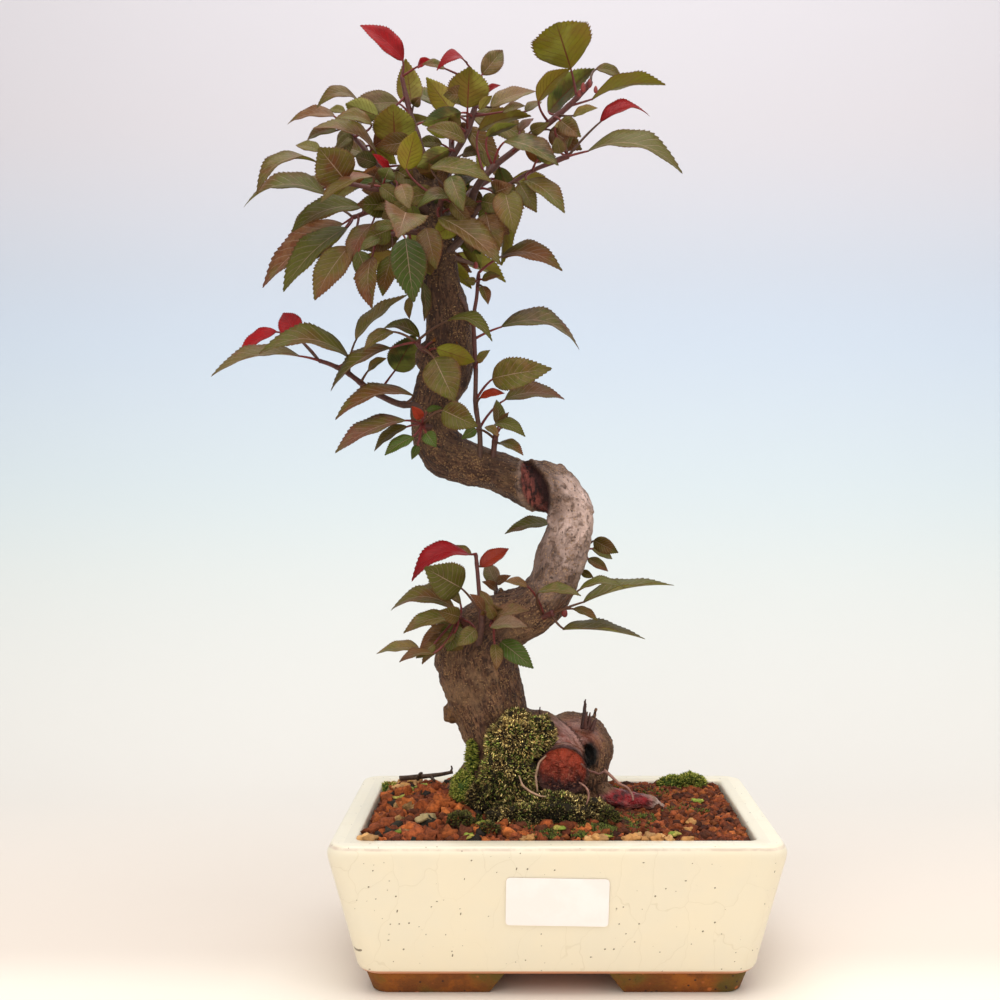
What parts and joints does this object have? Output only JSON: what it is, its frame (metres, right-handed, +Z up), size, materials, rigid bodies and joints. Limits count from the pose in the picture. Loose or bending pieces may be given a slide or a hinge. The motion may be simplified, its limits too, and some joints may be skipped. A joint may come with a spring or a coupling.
{
  "type": "apple bonsai",
  "caption": "Curved dwarf apple tree with a leafy crown and bronze serrated leaves, growing in a cream glazed rectangular pot with soil, moss and corner feet.",
  "frame": {"origin": "on the floor under the pot's feet, below the middle of the whole object's box", "axes": "+Z up along the tree; +X to the right along the pot's long side, seen from the front; +Y to the back"},
  "size_m": [0.2642, 0.14, 0.4481],
  "materials": {
    "glaze": "glossy",
    "bare_clay": "matte",
    "label_paper": "satin",
    "screen_plastic": "matte",
    "wire": "brushed",
    "soil": "matte",
    "moss": "matte",
    "dead_wood": "matte",
    "bark": "matte",
    "leaf": "satin"
  },
  "bodies": {
    "root": {"pot": "glaze", "blank_label": "label_paper", "drain_screen_left": "screen_plastic", "drain_screen_right": "screen_plastic", "screen_wire_left": "wire", "screen_wire_right": "wire", "soil": "soil", "moss_mound": "moss", "moss_strip_left": "moss", "moss_tuft_back_right": "moss", "moss_patch_back_left": "moss", "dead_twig": "dead_wood", "trunk": "bark", "crown_top_left": "leaf", "crown_top_right": "leaf", "crown_left_upper": "leaf", "crown_left_mid": "leaf", "crown_left_low": "leaf", "crown_hanging": "leaf", "crown_front": "leaf", "shoot_right_main": "leaf", "shoot_right_low": "leaf", "shoot_upright": "leaf", "spur_right": "leaf", "cluster_left": "leaf", "branch_left": "leaf", "spur_front": "leaf", "shoot_low_red": "leaf", "cluster_low_left": "leaf", "cluster_low_right": "leaf", "twigs_low_top": "leaf", "cluster_right_lower": "leaf", "cluster_behind_bend": "leaf", "crown_back_left": "leaf", "crown_back_right": "leaf", "crown_back_top": "leaf", "crown_back_low": "leaf"}
  },
  "joints": []
}
